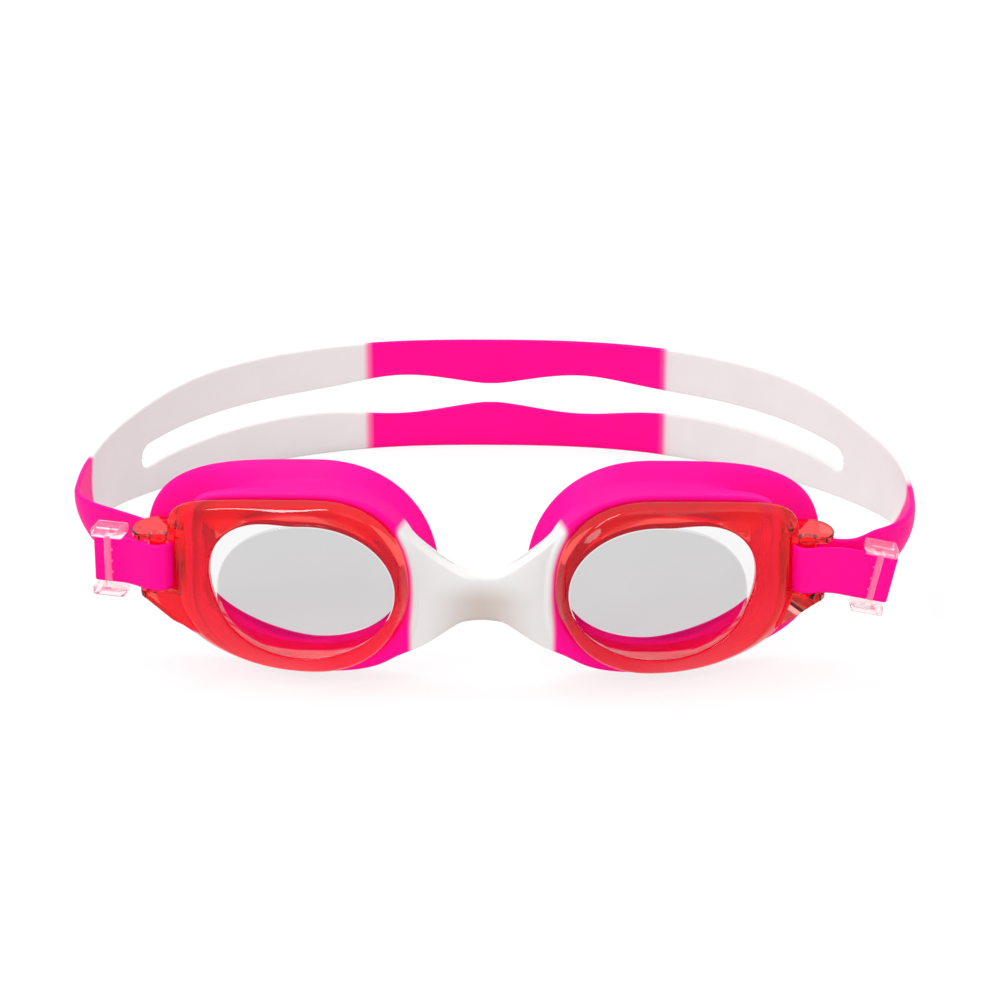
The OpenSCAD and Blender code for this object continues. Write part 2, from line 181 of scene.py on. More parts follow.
def gasket_corners(turns):
    """The gasket's profile around the lens, from the collar out to the lip and back in to the seat."""
    seat_front, seat_back = flange_back - (squeeze, 0), plug_back - (squeeze, 0)
    return np.array([
        section(collar_reach, collar_square, seat_front, turns),
        section(collar_reach + collar_swell, collar_square, collar_back, turns),
        section(neck_reach, neck_square, neck_depth, turns),
        section(lip_reach + lip_swell - lip_edge_in, lip_square, lip_depth - (lip_edge_t, 0), turns),
        section(lip_reach + lip_swell, lip_square, lip_depth, turns),
        section(lip_in_reach, lip_square, lip_depth + (lip_bow, 0), turns),
        section(neck_in_reach, neck_square, neck_depth + (neck_t, 0), turns),
        section(eye_reach, eye_square, seat_back + (rim_t, 0), turns),
        section(eye_reach, eye_square, seat_back, turns),
        section(plug_reach - squeeze, frame_square, seat_back, turns),
        section(plug_reach - squeeze, frame_square, seat_front, turns),
    ])


cad_turns = np.radians(np.arange(0, 360, cad_turn))
window_z = -tipped(around(gasket_corners(cad_turns), cad_turns))[..., 2].min()


def on_cup(points, side):
    """Points of a cup moved to their place on the goggles, where the lip stands on the table."""
    x, y, z = np.moveaxis(tipped(points), -1, 0)
    return np.stack((side * (x + lens_spacing / 2), y, z + window_z), axis=-1)


def turn_outwards(mesh):
    """Turns every face of a closed mesh outwards."""
    shape = bmesh.new()
    shape.from_mesh(mesh)
    bmesh.ops.recalc_face_normals(shape, faces=shape.faces)
    shape.to_mesh(mesh)
    shape.free()


def piece(name, points, faces):
    """A new object of the given points, in millimetres, with its faces turned outwards."""
    mesh = bpy.data.meshes.new(name)
    mesh.from_pydata(row(points).tolist(), [], [tuple(int(i) for i in face) for face in faces])
    mesh.validate()
    turn_outwards(mesh)
    mesh.shade_smooth()
    made = bpy.data.objects.new(name, mesh)
    bpy.context.scene.collection.objects.link(made)
    return made


def settle(made):
    """Applies the modifiers of a piece to its mesh."""
    evaluated = made.evaluated_get(bpy.context.evaluated_depsgraph_get())
    mesh = bpy.data.meshes.new_from_object(evaluated)
    made.modifiers.clear()
    made.data = mesh


def give(made, name, values):
    """Stores one number for each point of a piece."""
    stored = made.data.attributes.get(name) or made.data.attributes.new(name, "FLOAT", "POINT")
    stored.data.foreach_set("value", np.asarray(values, np.float32))


def numbers(made, name):
    """Reads back the number stored for each point of a piece."""
    values = np.zeros(len(made.data.vertices), np.float32)
    made.data.attributes[name].data.foreach_get("value", values)
    return values


def places(made):
    """The points of a piece, in millimetres behind the lens windows."""
    points = np.zeros(3 * len(made.data.vertices), np.float32)
    made.data.vertices.foreach_get("co", points)
    return (points.reshape(-1, 3) - (0, window_y, 0)) / mm


def eased(x, low, high):
    """0 up to a low value and 1 from a high one, with a soft rise between them."""
    t = np.clip((x - low) / (high - low), 0, 1)
    return t * t * (3 - 2 * t)


def bridge_root():
    """Walks around the root of the bridge on the gasket: front edge, lower edge, back edge and upper edge."""
    spots = [(bridge_front_row, i) for i in range(bridge_top, bridge_bottom)]
    spots += [(k, bridge_bottom) for k in range(bridge_front_row, bridge_back_row)]
    spots += [(bridge_back_row, i) for i in range(bridge_bottom, bridge_top, -1)]
    spots += [(k, bridge_top) for k in range(bridge_back_row, bridge_front_row, -1)]
    return spots


def bridge_middle():
    """The outline of the bridge at its middle, in the same order as the walk around its root."""
    corner = math.pi / 4
    steps = (bridge_bottom - bridge_top, bridge_back_row - bridge_front_row) * 2
    angles = np.concatenate([
        np.linspace((2 * k + 3) * corner, (2 * k + 5) * corner, n, endpoint=False)
        for k, n in enumerate(steps)
    ])
    c, s = np.cos(angles), np.sin(angles)
    power = 2 / bridge_square
    return np.stack((
        0 * c,
        hinge_y + bridge_half_t * np.sign(c) * np.abs(c) ** power,
        hinge_z + bridge_half_h * np.sign(s) * np.abs(s) ** power,
    ), axis=-1)


def bridge_leave(spots, turns, side):
    """Which way the bridge leaves the gasket: straight out at its middle, along the gasket at its edges."""
    ways = []
    for _, i in spots:
        lean = 2 * (i - bridge_top) / (bridge_bottom - bridge_top) - 1
        edge = abs(lean) ** 3
        along = math.copysign(edge, lean)
        c, s = math.cos(turns[i]), math.sin(turns[i])
        ways.append((c * (1 - edge) + along * s, 0, s * (1 - edge) - along * c))
    ways = np.array(ways) / np.linalg.norm(ways, axis=1, keepdims=True)
    return tipped(ways) * (side, 1, 1)


def rings(count, n, closed):
    """Faces between rings of n points, and where they are closed from the last ring to the first."""
    return [
        (k * n + i, k * n + (i + 1) % n, (k + 1) % count * n + (i + 1) % n, (k + 1) % count * n + i)
        for k in range(count if closed else count - 1)
        for i in range(n)
    ]


def gasket_half(side):
    """A ring around one lens, with half of the bridge growing out of its nose side."""
    turns = np.arange(gasket_turns) * 2 * math.pi / gasket_turns
    rows = rounded_rows(gasket_corners(turns), gasket_rounds, gasket_corner_steps)
    count = len(rows)
    points = [*on_cup(around(rows, turns), side).reshape(-1, 3)]
    white = np.zeros((count, gasket_turns))
    white[:bridge_back_row + 1, bridge_top:bridge_bottom + 1] = 1
    white = [*white.reshape(-1)]
    faces = []
    for face in rings(count, gasket_turns, True):
        k, i = divmod(face[0], gasket_turns)
        if not (bridge_front_row <= k < bridge_back_row and bridge_top <= i < bridge_bottom):
            faces.append(face)
    spots = bridge_root()
    last = [k * gasket_turns + i for k, i in spots]
    start, middle = np.array([points[i] for i in last]), bridge_middle()
    run = np.linalg.norm(middle - start, axis=1, keepdims=True)
    leave, arrive = bridge_pull * run * bridge_leave(spots, turns, side), run * (-side, 0, 0)
    for ring in range(1, bridge_rings + 1):
        t = ring / bridge_rings
        ring_points = (
            (2 * t ** 3 - 3 * t ** 2 + 1) * start + (t ** 3 - 2 * t ** 2 + t) * leave
            + (3 * t ** 2 - 2 * t ** 3) * middle + (t ** 3 - t ** 2) * arrive
        )
        here = list(range(len(points), len(points) + len(last)))
        points += [*ring_points]
        white += [1] * len(last)
        for j in range(len(last)):
            n = (j + 1) % len(last)
            faces.append((last[j], last[n], here[n], here[j]))
        last = here
    faces.append(tuple(last))
    made = piece(f"gasket_and_bridge_{side_names[side]}", points, faces)
    give(made, "white", white)
    rim = set(last)
    crease = made.data.attributes.new("crease_edge", "FLOAT", "EDGE")
    crease.data.foreach_set("value", [float(set(e.vertices) <= rim) for e in made.data.edges])
    smooth = made.modifiers.new("smooth", "SUBSURF")
    smooth.levels = smooth.render_levels = gasket_smoothing
    settle(made)
    made.data.set_sharp_from_angle(angle=gasket_sharp)
    x, _, z = np.abs(places(made)).T
    edge = white_x + white_wider * eased(z, *white_z)
    give(made, "dye", 1 - numbers(made, "white") * (1 - eased(x, edge - white_soft, edge + white_soft)))
    # Painted shade: a mask that greys the white low in the middle of the bridge.
    give(made, "bridge_painted_shade", (1 - eased(x, 0, bridge_shade_x)) * (1 - eased(z, hinge_z - 1, hinge_z + bridge_half_h)))
    return made


class Shade:
    """A socket of a shader. Sums and products of sockets add Math nodes, and node() adds any other node."""

    def __init__(self, tree, socket=None):
        self.tree, self.socket = tree, socket

    def node(self, kind, inputs=(), output=0, **settings):
        made = self.tree.nodes.new("ShaderNode" + kind)
        for name, value in settings.items():
            setattr(made, name, value)
        self.feed(made, inputs)
        return Shade(self.tree, made.outputs[output] if made.outputs else None)

    def feed(self, node, inputs):
        for name, value in dict(inputs).items():
            if isinstance(value, Shade):
                self.tree.links.new(value.socket, node.inputs[name])
            else:
                node.inputs[name].default_value = value

    def math(self, operation, *values):
        return self.node("Math", dict(enumerate(values)), operation=operation)

    def __add__(self, other):
        return self.math("ADD", self, other)

    def __sub__(self, other):
        return self.math("SUBTRACT", self, other)

    def __rsub__(self, other):
        return self.math("SUBTRACT", other, self)

    def __mul__(self, other):
        return self.math("MULTIPLY", self, other)

    __radd__, __rmul__ = __add__, __mul__

    def mix(self, low, high):
        """A colour between two others, with this value as its share of the second."""
        return self.node("Mix", {0: self, 6: low, 7: high}, output=2, data_type="RGBA")


def new_finish(name):
    """A new material, its nodes and its main shader."""
    material = bpy.data.materials.new(name)
    material.use_nodes = True
    return material, Shade(material.node_tree), material.node_tree.nodes["Principled BSDF"]


def linear(*srgb):
    """A colour as it looks on screen, from 0 to 255, as the shader's own numbers."""
    return tuple(c / 255 / 12.92 if c < 11 else ((c / 255 + 0.055) / 1.055) ** 2.4 for c in srgb) + (1.0,)


def silicone():
    """Satin silicone: cloudy dye, fine grain from the mould, and rubbed patches that shine a little more. The
    white turns a greyer beige low in the middle of the bridge, which is painted shade.
    """
    material, shade, shader = new_finish("silicone_two_colours")
    spot = shade.node("TexCoord", output=3)
    dye = shade.node("Attribute", output=2, attribute_name="dye")
    cloud = shade.node("TexNoise", {"Vector": spot, "Scale": 90.0, "Detail": 3.0})
    grain = shade.node("TexNoise", {"Vector": spot, "Scale": 2600.0, "Detail": 2.0})
    rubbed = shade.node("TexNoise", {"Vector": spot, "Scale": 35.0, "Detail": 6.0, "Roughness": 0.7})
    # The bridge's painted shade mask, which greys the white towards (198, 187, 180).
    bridge_shade = shade.node("Attribute", output=2, attribute_name="bridge_painted_shade")
    pink = cloud.mix(linear(248, 0, 136), linear(255, 1, 150))
    white = bridge_shade.mix(cloud.mix(linear(221, 221, 220), linear(228, 228, 227)), linear(198, 187, 180))
    shade.feed(shader, {
        "Base Color": dye.mix(white, pink),
        "Roughness": 0.62 - 0.3 * rubbed + 0.06 * cloud,
        "Normal": shade.node("Bump", {"Height": grain, "Strength": 0.06, "Distance": 0.0002}),
        "Specular IOR Level": 0.08,
        "Subsurface Weight": 0.04,
        "Subsurface Radius": (1.0, 0.5, 0.5),
        "Subsurface Scale": 1.2 * mm,
    })
    return material


def dress(made, material, slot, *nodes):
    """Gives a piece its material and hides the CAD nodes that it stands for. Its slot argument is not used.
    """
    made.data.materials.clear()
    made.data.materials.append(material)
    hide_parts(*nodes)


soft = silicone()
for side, name in side_names.items():
    half = gasket_half(side)
    dress(half, soft, "pink_silicone", "gasket_" + name, *(["nose_bridge"] if side > 0 else []))
    mirror = np.array((side, 1, 1))
    row(mirror * bend_from)
    row(mirror * bend_to)
    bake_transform(half)

# Lens frames: see-through coral plastic, moulded around the lens, with a flange in front of the gasket.
# At the temple a lug of two shelves holds the post that the strap turns around.
# A web carries the frame's lower edge out to the lower shelf.
round_square = (2.2, 2, 2, 2)
window_reach = np.array((18.9, 18.9, 14.2, 14.2))
opening_gap = 0.15
crest_reach = flange_reach - (3, 0.9, 1.2, 0.7)
plug_in_reach = plug_reach - (1.6, 1.6, 1.6, 4.6)
lens_edge, lens_seat = 0.2, 2.8
wall_deep, wall_w, wall_low, wall_high, wall_shape = 3.6, 3.4, -8, 88, 0.7
rim_w, rim_high, rim_deep = 0.45, 0.2, 0.3
crest_depth = np.array((1.3, 3))
flange_t = 1.4
frame_turns = 216
frame_rounds = (0.15, 0.3, 0.8, 0.6, 0.25, 0.15, 0.3, 0.3, 0.2)
frame_corner_steps, plastic_sharp = 5, math.radians(35)
strap_z, strap_w, strap_t = 25.4, 10.5, 1.2
strap_room = 0.4
room_h = strap_w + 2 * strap_room
post_at, post_r = np.array((68.9, 12.05)), 2.2
fold_room = 0.15
turn_r = post_r + fold_room + strap_t / 2
lug_in, lug_front, lug_back, lug_round = 63.2, 9, 18.4, 6
lug_out, lug_low_out = 74.7, 73
round_steps = 24
shelf_front, shelf_back = 10.4, 20.5
wall_out = post_at[0] - turn_r - strap_t / 2 - strap_room
shelf_t, shelf_edge, lug_wall_edge = 1.5, 0.3, 0.2
post_sunk, post_edge = 0.5, 0.1
web_outline = np.array(((20, -12.5), (30.1, -7.2), (36.4, -1.7), (36.4, -0.7), (28, -0.7)))
web_front, web_back = 5, 8.4
weld = 0.003


def opening(gap, depth, turns):
    """The outline that the lens fits: close around the window, drawn out and back along its clear wall."""
    lean = np.degrees(np.arctan2(np.sin(turns), np.cos(turns)))
    wall = np.sin(math.pi * np.clip((lean - wall_low) / (wall_high - wall_low), 0, 1) ** wall_shape) ** 2
    near = section(window_reach + gap, round_square, (depth, 0), turns)
    return near + np.stack((wall_w * wall, wall_deep * wall), axis=-1)


def lens_frame_ring(side):
    """The frame around the lens, with a crest in front, a flange, and a plug that the gasket grips."""
    turns = np.arange(frame_turns) * 2 * math.pi / frame_turns
    corners = np.array([
        opening(opening_gap, lens_edge + rim_deep, turns),
        opening(opening_gap + rim_w, lens_edge - rim_high, turns),
        section(crest_reach, frame_square, crest_depth, turns),
        section(flange_reach, frame_square, flange_back - (flange_t, 0), turns),
        section(flange_reach, frame_square, flange_back, turns),
        section(plug_reach, frame_square, flange_back, turns),
        section(plug_reach, frame_square, plug_back, turns),
        section(plug_in_reach, frame_square, plug_back, turns),
        opening(opening_gap, lens_edge + lens_seat, turns),
    ])
    rows = rounded_rows(corners, frame_rounds, frame_corner_steps)
    points = on_cup(around(rows, turns), side).reshape(-1, 3)
    return piece(f"lens_frame_{side_names[side]}_shell", points, rings(*rows.shape[:2], True))


def slab(outline, low, high, edge, side):
    """An upright slab over an outline, with its upper and lower edges broken."""
    outline = np.array(outline, float)
    middle = outline.mean(axis=0)
    spokes = outline - middle
    shrunk = middle + spokes * (1 - edge / np.linalg.norm(spokes, axis=1, keepdims=True))
    levels = ((shrunk, low), (outline, low + edge), (outline, high - edge), (shrunk, high))
    points = [(side * x, y, z) for shape, z in levels for x, y in shape]
    n = len(outline)
    ends = [tuple(range(n - 1, -1, -1)), tuple(range(3 * n, 4 * n))]
    return piece("slab", points, ends + rings(len(levels), n, False))


def arc(centre, radius, low, high):
    """Points of an arc between two angles in degrees."""
    return [
        (centre[0] + radius * math.cos(a), centre[1] + radius * math.sin(a))
        for a in np.radians(np.linspace(low, high, round_steps))
    ]


def shelf_outline(out, front, back):
    """A shelf of the lug from above, with a round outer end."""
    centre = (out - lug_round, back - lug_round)
    start = math.degrees(math.asin(max(-1, (front - centre[1]) / lug_round)))
    return [(lug_in, front)] + arc(centre, lug_round, start, 90) + [(lug_in, back)]


def web(side):
    """The plate from the frame's lower edge out to the lower shelf."""
    n = len(web_outline)
    points = [(u, w, v) for w in (web_front, web_back) for u, v in web_outline]
    faces = [tuple(range(n)), tuple(range(2 * n - 1, n - 1, -1))]
    faces += [(i + n, (i + 1) % n + n, (i + 1) % n, i) for i in range(n)]
    return piece("web", on_cup(points, side), faces)


def cut(made, others, operation):
    """Fuses other solids into a piece, or cuts them out of it."""
    for other in others:
        change = made.modifiers.new("change", "BOOLEAN")
        change.operation = operation
        change.solver = "EXACT"
        change.object = other
        settle(made)
        bpy.data.objects.remove(other)
    shape = bmesh.new()
    shape.from_mesh(made.data)
    bmesh.ops.remove_doubles(shape, verts=shape.verts[:], dist=weld * mm)
    bmesh.ops.dissolve_degenerate(shape, edges=shape.edges[:], dist=weld * mm)
    bmesh.ops.holes_fill(shape, edges=[e for e in shape.edges if e.is_boundary], sides=0)
    shape.to_mesh(made.data)
    shape.free()
    turn_outwards(made.data)
    made.data.set_sharp_from_angle(angle=plastic_sharp)
    return made


def lens_frame(side):
    """The frame fused with its lug: two shelves, the wall and the post between them, and the web."""
    low, high = strap_z - room_h / 2, strap_z + room_h / 2
    upper = shelf_outline(lug_out, shelf_front, shelf_back)
    lower = shelf_outline(lug_low_out, lug_front, lug_back)
    wall = [(lug_in, lug_front), (wall_out, lug_front), (wall_out, lug_back), (lug_in, lug_back)]
    post = arc(post_at, post_r, 0, 360 - 360 / round_steps)
    return cut(lens_frame_ring(side), [
        slab(upper, high, high + shelf_t, shelf_edge, side),
        slab(lower, low - shelf_t, low, shelf_edge, side),
        slab(wall, low - shelf_t + lug_wall_edge, high + shelf_t - lug_wall_edge, lug_wall_edge, side),
        slab(post, low - post_sunk, high + post_sunk, post_edge, side),
        web(side),
    ], "UNION")


def clear_plastic(name, low, high, rough, clear, bend, wall=None):
    """See-through plastic with a cloudy tint and faint ripples. On a lens, the grey tint over its window is
    painted shade, and its wall off the window has another tint.
    """
    material, shade, shader = new_finish(name)
    spot = shade.node("TexCoord", output=3)
    cloud = shade.node("TexNoise", {"Vector": spot, "Scale": 60.0, "Detail": 4.0})
    tint = cloud.mix(low, high)
    if wall:
        tint = shade.node("Attribute", output=2, attribute_name="window").mix(wall, tint)
    shade.feed(shader, {
        "Base Color": tint,
        "Roughness": rough * (0.4 + cloud),
        "Normal": shade.node("Bump", {"Height": cloud, "Strength": 0.02, "Distance": 0.001}),
        "IOR": bend,
        "Transmission Weight": clear,
    })
    return material


coral = clear_plastic(
    "coral_see_through_plastic", (1, 0.055, 0.05, 1), (1, 0.095, 0.085, 1), rough=0.03, clear=1.0, bend=1.35
)
for side, name in side_names.items():
    shell = lens_frame(side)
    dress(shell, coral, "coral_plastic", "lens_frame_" + name)
    # See-through pieces cast no shadow, so that the lamps reach the silicone behind them.
    shell.visible_shadow = False
    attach(shell, name + "_cup")

# Lenses: moulded polycarbonate, flat in front and behind, with a grey tint over the window that is painted
# shade for the inside of the cup.
# The painted shade ends in a curve at the bottom, where the gasket's rim is seen through the lens.
# A clear wall around the window sits in the frame's opening and slopes back at the upper temple side.
lens_t, lens_lip, lens_rim = 1.8, 0.1, 0.7
lens_grip, lens_step = 0.15, 0.08
lens_rings, lens_middle, lens_sharp = 40, 0.1, math.radians(25)
# Where the painted shade over the window ends: its height at the middle, how it curves up to each side, and
# how soft its edge is.
shade_low, shade_curve, shade_soft = -10.05, (0.0255, 0.014), 0.3


def lens(side):
    """A lens in rings: out over the front, around the edge that fits the frame, and in over the back."""
    turns = np.arange(frame_turns) * 2 * math.pi / frame_turns
    fitted = opening_gap + lens_grip
    shares = np.linspace(lens_middle, 1, lens_rings)
    front = [section(share * window_reach, round_square, (0, 0), turns) for share in shares]
    back = [section(share * window_reach, round_square, (lens_t, 0), turns) for share in shares[::-1]]
    rows = np.array([
        *front,
        section(window_reach + lens_step, round_square, (lens_step, 0), turns),
        opening(fitted, lens_edge + lens_lip, turns),
        np.maximum(opening(fitted, lens_edge + lens_rim, turns), (0, lens_t)),
        section(window_reach + lens_step, round_square, (lens_t, 0), turns),
        *back,
    ])
    count, n = rows.shape[:2]
    middles = [tuple(range(n - 1, -1, -1)), tuple(range((count - 1) * n, count * n))]
    points = around(rows, turns)
    faces = rings(count, n, False) + middles
    made = piece(f"lens_{side_names[side]}_clear", on_cup(points, side).reshape(-1, 3), faces)
    made.data.set_sharp_from_angle(angle=lens_sharp)
    # Painted shade: the window is greyed above a curve near its bottom.
    shade_from = shade_low + np.where(points[..., 0] > 0, *shade_curve) * points[..., 0] ** 2
    window_shade = eased(points[..., 2], shade_from - shade_soft, shade_from + shade_soft)
    window_shade[lens_rings:-lens_rings] = 0
    give(made, "window", window_shade.reshape(-1))
    return made


# The grey of this lens plastic over the window is painted shade; the wall keeps a lighter tint.
lens_with_painted_shade = clear_plastic(
    "lens_plastic_with_painted_shade", (0.60, 0.60, 0.605, 1), (0.63, 0.63, 0.635, 1), rough=0.02, clear=1.0, bend=1.1,
    wall=(0.88, 0.885, 0.89, 1),
)
for side, name in side_names.items():
    glass = lens(side)
    dress(glass, lens_with_painted_shade, "smoke_lens", "lens_" + name)
    glass.visible_shadow = False
    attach(glass, name + "_cup")

# Strap: one flat silicone moulding. Each pink end comes in from the ear, turns around the lug's post and runs
# out again as a short tail through its clip, and the right tail droops. Each white arm splits into two bands
# that are pink again behind the head. Near the ears the strap bows out and leans in at its lower edge.
strap_sides = {
    1: dict(
        reach=93, tuck=0, lead=16, wrap_run=22, wrap_from=93, lean=3.2, bow=1.5, lift=0.6,
        sink_y=(15.6, 18.6), tail_turn=2, tail_drop=12, tail_out=18.3,
        pink_y=45, pink_slope=-0.4, back_q=22,
    ),
    -1: dict(
        reach=90.8, tuck=1.6, lead=13, wrap_run=16, wrap_from=140, lean=3.2, bow=1.05, lift=0,
        sink_y=(17, 26), tail_turn=14, tail_drop=0, tail_out=14.2,
        pink_y=57, pink_slope=0.5, back_q=14.5,
    ),
}
tail_n, tail_set, drop_from, sink_out, slant_run = 0.75, 8, 2.5, 11.5, 6
lean_in, lean_out = (12, 26), (46, 66)
tuck_in, tuck_out = (10, 20), (60, 90)
lift_in, lift_out = (14, 22), (38, 55)
loop_depth, loop_mid_y, loop_square = 139.5, 40, 2.5
fork_q, slit_q = 55, 61
slit_stations, crotch_stations, arm_stations, lead_stations, band_stations = 60, 9, 44, 40, 150
wrap_step, tail_stations = 5, (12, 8)
rear_h, slit_h, slit_round = 27.7, 5.6, 3.4
bulge, bulge_at, bulge_run, pinch, pinch_run = 2.2, 22, 14, 0.6, 8
ear_low, ear_high = strap_z - strap_w / 2, strap_z + strap_w / 2
ear_y, ear_rise, ear_run, high_y = 36, 0.5, (20, 30), 42
fall_start, fall_power, middle_y = 0.06, 1.6, 60
dip_y, dip_run, dip = 92, 28, 1.2
edge_round, edge_steps = strap_t / 2, np.array((0, 0.04, 0.15, 0.35, 0.65, 1))
tail_corner, tip_steps = 0.6, np.array((0.6, 0.45, 0.3, 0.2, 0.1, 0.03, 0))
inner_rows, touching, strap_sharp = 6, 1e-6, math.radians(60)
dye_soft = 0.9
arm_bend, band_bend = (28, 80), 16


def loop_at(q):
    """The strap's middle around the head, by an angle that is 0 at the back and 90 at the right ear."""
    reach = np.where(np.asarray(q) < 0, strap_sides[-1]["reach"], strap_sides[1]["reach"])
    q = np.radians(q)
    x = np.sign(q) * reach * np.abs(np.sin(q)) ** (2 / loop_square)
    y = loop_mid_y + (loop_depth - loop_mid_y) * np.abs(np.cos(q)) ** (2 / loop_square)
    return np.stack((x, y), axis=-1)


slit_y = loop_at(slit_q)[1]
fork_y = loop_at(fork_q)[1]
flat_y = loop_at(strap_sides[1]["back_q"])[1]


def low_edge(y):
    """Height of the strap's lower edge, which falls to the table behind the ears."""
    t = np.clip((y - ear_y) / (flat_y - ear_y), 0, 1)
    fall = np.minimum(1, (1 + fall_start) * t * t / (t + fall_start))
    return ear_low * (1 - fall) ** fall_power


def high_edge(y):
    """Height of the strap's upper edge, which rises behind the ears, with a slight dip before the back."""
    raised = ear_high + ear_rise * eased(y, *ear_run)
    return raised + (rear_h - dip - raised) * eased(y, high_y, dip_y) + dip * eased(y, dip_y, dip_y + dip_run)


def slit_half(x, y):
    """Half the height of the slit between the bands: round at its ends, wider beside the back's middle."""
    x = np.abs(x)
    opened = slit_h / 2 + bulge * np.exp(-((x - bulge_at) / bulge_run) ** 2)
    opened -= pinch * np.exp(-(x / pinch_run) ** 2)
    start = np.clip((y - slit_y) / slit_round, 0, 1)
    return opened * np.sqrt(1 - (1 - start) ** 2)


def on_tail(side, d, n):
    """A place by its distance out along the tail from the post and its distance behind the tail's line."""
    turn = math.radians(strap_sides[side]["tail_turn"])
    return post_at + np.stack(turned(*np.broadcast_arrays(d, n), turn), axis=-1)


def drop_at(side, d):
    """How far the tail droops at a distance along it."""
    return math.tan(math.radians(strap_sides[side]["tail_drop"])) * np.maximum(0, np.asarray(d) - drop_from)


def bezier(a, b, c, d, t):
    """A curve from a to d that leaves towards b and arrives from c."""
    return (1 - t) ** 3 * a + 3 * t * (1 - t) ** 2 * b + 3 * t * t * (1 - t) * c + t ** 3 * d


def along(path):
    """Length along a path to each of its points."""
    return np.concatenate(((0,), np.cumsum(np.linalg.norm(np.diff(path, axis=0), axis=1))))


def end_path(side):
    """The strap's middle from the fork to its free end, and each station's distance along the tail, which is
    -1 before the tail starts."""
    shape = strap_sides[side]
    q = np.concatenate((
        np.linspace(fork_q, slit_q, slit_stations),
        np.linspace(slit_q, slit_q + 1, crotch_stations)[1:],
        np.linspace(slit_q + 1, 90, arm_stations)[1:],
    ))
    wrap = np.radians(np.arange(shape["wrap_from"], 270, wrap_step))
    fold = on_tail(side, turn_r * np.cos(wrap), turn_r * np.sin(wrap))
    lead = math.radians(shape["tail_turn"] + shape["wrap_from"] - 90)
    lead = shape["wrap_run"] * np.array((math.cos(lead), math.sin(lead)))
    ear = loop_at(90.0 * side) * (side, 1)
    t = np.linspace(0, 1, lead_stations)[1:-1, None]
    to_post = bezier(ear, ear - (0, shape["lead"]), fold[0] + lead, fold[0], t)
    near_end = shape["tail_out"] - tip_steps
    d = np.concatenate((
        np.linspace(0, tail_set, tail_stations[0]),
        np.linspace(tail_set, near_end[0], tail_stations[1])[1:-1],
        near_end,
    ))
    n = -turn_r + (turn_r - tail_n) * eased(d, 0, tail_set)
    head = loop_at(side * q) * (side, 1)
    path = np.concatenate((head, to_post, fold, on_tail(side, d, n)))
    return path, np.concatenate((np.full(len(path) - len(d), -1), d))


def across_rows(low, high):
    """Places across a strip between two edges, close together where the edges are round."""
    near = edge_round * edge_steps
    inner = np.linspace(0, 1, inner_rows + 2)[1:-1]
    low, high = low[:, None], high[:, None]
    between = (low + edge_round) + (high - low - 2 * edge_round) * inner
    return np.concatenate((low + near, between, high - near[::-1]), axis=1)


def strap_points(path, heights, half, shift):
    """Front and back points of a strap, by the heights, half thicknesses and shifts at its stations."""
    heading = np.gradient(path, axis=0)
    heading /= np.linalg.norm(heading, axis=1, keepdims=True)
    normal = np.stack((-heading[:, 1], heading[:, 0]), axis=-1)
    faces = []
    for sign in (1, -1):
        flat = path[:, None, :] + shift + sign * half[..., None] * normal[:, None, :]
        faces.append(np.concatenate((flat, heights[..., None]), axis=-1))
    return faces


def round_half(distance):
    """Half the strap's thickness at a distance from its rounded edge."""
    near = 1 - np.clip(distance / edge_round, 0, 1)
    return edge_round * np.sqrt(1 - near ** 2)


def ribbon(name, path, strips, closed_ends, side=1):
    """A strap of one or two strips side by side, which part where their facing edges differ. A strip has the
    heights at each station, their distances to the nearest free edge, and their shifts. The stations in
    closed_ends are closed flat."""
    shaped = [strap_points(path, heights, round_half(far), shift) for heights, far, shift in strips]
    points, faces, known = [], [], {}

    def spot(strip, i, j, face):
        if strip == 1 and j == 0 and abs(strips[1][0][i, 0] - strips[0][0][i, -1]) < touching:
            strip, j = 0, strips[0][0].shape[1] - 1
        key = (strip, i, j, 0 if strips[strip][1][i, j] < touching else face)
        if key not in known:
            known[key] = len(points)
            points.append(shaped[strip][key[3]][i, j])
        return known[key]

    def add(*corners):
        corners = [v for k, v in enumerate(corners) if v != corners[k - 1]]
        if len(set(corners)) > 2:
            faces.append(corners)

    for strip, (heights, _, _) in enumerate(strips):
        for j in range(heights.shape[1] - 1):
            for i in range(len(path) - 1):
                corners = ((i, j), (i + 1, j), (i + 1, j + 1), (i, j + 1))
                for face in (0, 1):
                    add(*(spot(strip, a, b, face) for a, b in corners))
            for i in closed_ends:
                add(*(spot(strip, i, b, face) for b, face in ((j, 0), (j + 1, 0), (j + 1, 1), (j, 1))))
    made = piece(name, np.array(points) * (side, 1, 1), faces)
    made.data.set_sharp_from_angle(angle=strap_sharp)
    return made


def dyed(x, edge):
    """0 before a dye's edge and 1 after it."""
    return eased(x, edge - dye_soft, edge + dye_soft)


